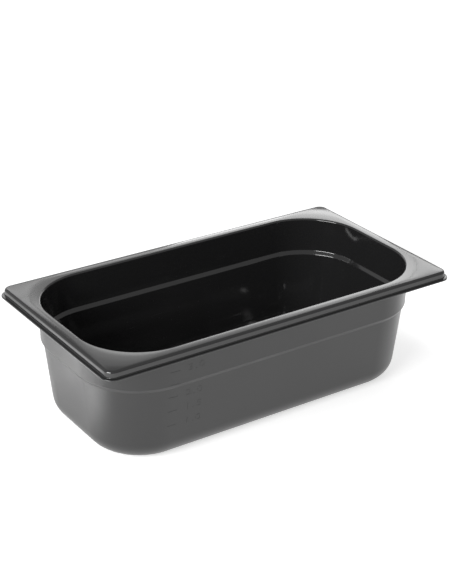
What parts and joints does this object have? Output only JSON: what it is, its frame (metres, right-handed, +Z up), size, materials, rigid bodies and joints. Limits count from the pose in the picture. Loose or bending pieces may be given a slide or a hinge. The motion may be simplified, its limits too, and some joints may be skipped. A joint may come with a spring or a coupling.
{
  "type": "food pan",
  "caption": "Rectangular food pan, one-third gastronorm size and 100 mm deep, with a stepped flat rim, round corners, a stacking shoulder and tapered walls, moulded in one piece.",
  "frame": {"origin": "centre of the underside, on the surface that the pan stands on", "axes": "+X along the long sides, +Y along the short sides, +Z up, out of the opening"},
  "size_m": [0.325, 0.176, 0.1],
  "materials": {
    "black_plastic": "glossy on the rim and inside, fine satin on the outer wall"
  },
  "bodies": {
    "root": {"pan": "black_plastic"}
  },
  "joints": []
}
